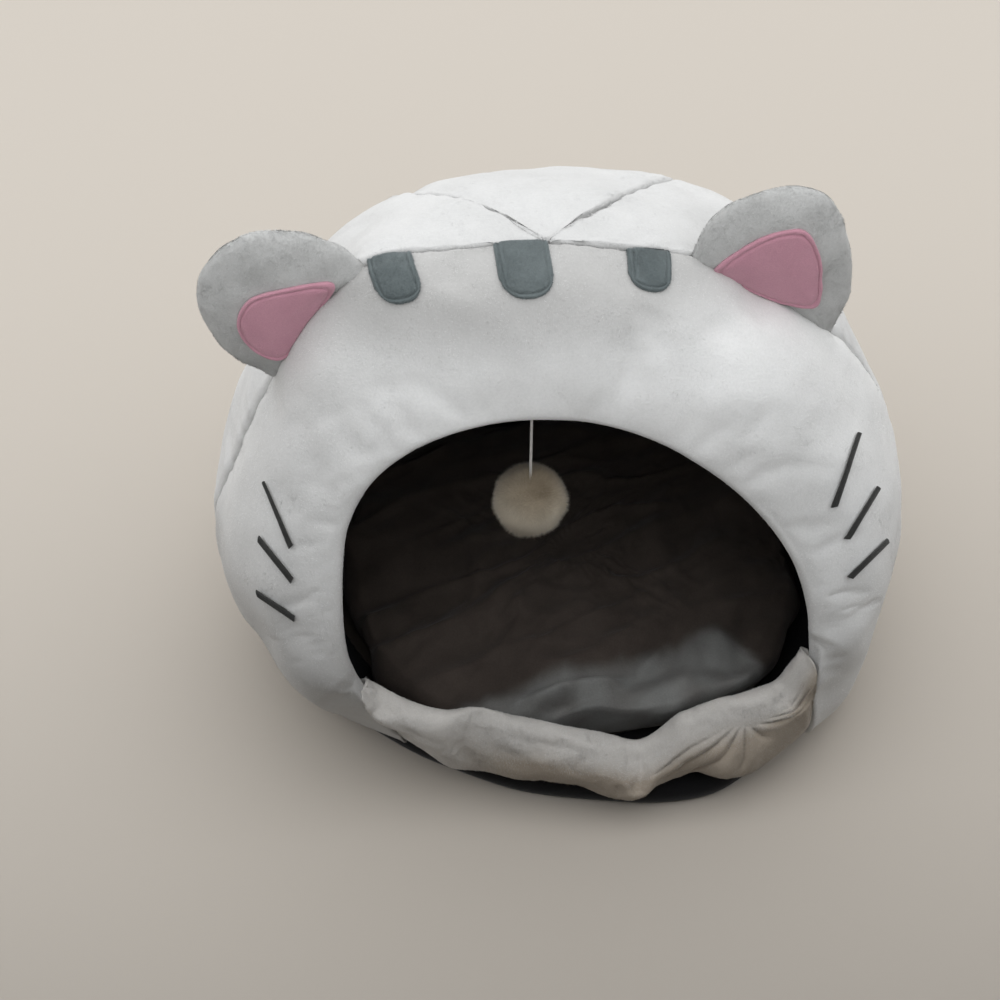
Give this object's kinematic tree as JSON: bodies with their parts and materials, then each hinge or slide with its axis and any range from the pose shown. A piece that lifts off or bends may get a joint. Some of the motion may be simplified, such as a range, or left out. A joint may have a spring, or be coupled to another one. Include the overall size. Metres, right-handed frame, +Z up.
{
  "type": "plush cat house",
  "caption": "Padded plush pet house: a rounded dome with a wide arched doorway, slack rolled front lip, padded ears, forehead stripes, a loose cushion and a hanging pompom.",
  "frame": {"origin": "on the flat underside, under the middle of the dome", "axes": "+Z up, the doorway faces -Y, +X to the right of someone looking in"},
  "size_m": [0.4126, 0.3752, 0.332],
  "materials": {
    "plush_grey": "short plush pile, light cool grey",
    "plush_slate": "short plush pile, slate grey",
    "felt_pink": "thin felt, dusty pink",
    "lining_dark": "smooth thin lining, dark brown-grey",
    "cushion_grey": "soft flannel, mid grey",
    "base_black": "plain black cloth",
    "pile_white": "fluffy cream-white pile"
  },
  "bodies": {
    "root": {"base_pad": "base_black", "front_panel": "plush_grey", "side_panel_left": "plush_grey", "back_panel": "plush_grey", "side_panel_right": "plush_grey", "front_lip": "plush_grey", "ear_left": "plush_grey", "ear_right": "plush_grey", "ear_felt_left": "felt_pink", "ear_felt_right": "felt_pink", "stripe_left": "plush_slate", "stripe_middle": "plush_slate", "stripe_right": "plush_slate", "lining_front": "lining_dark", "lining_dome": "lining_dark", "lining_floor": "lining_dark", "cushion": "cushion_grey", "pompom": "pile_white", "pompom_string": "pile_white"}
  },
  "joints": []
}
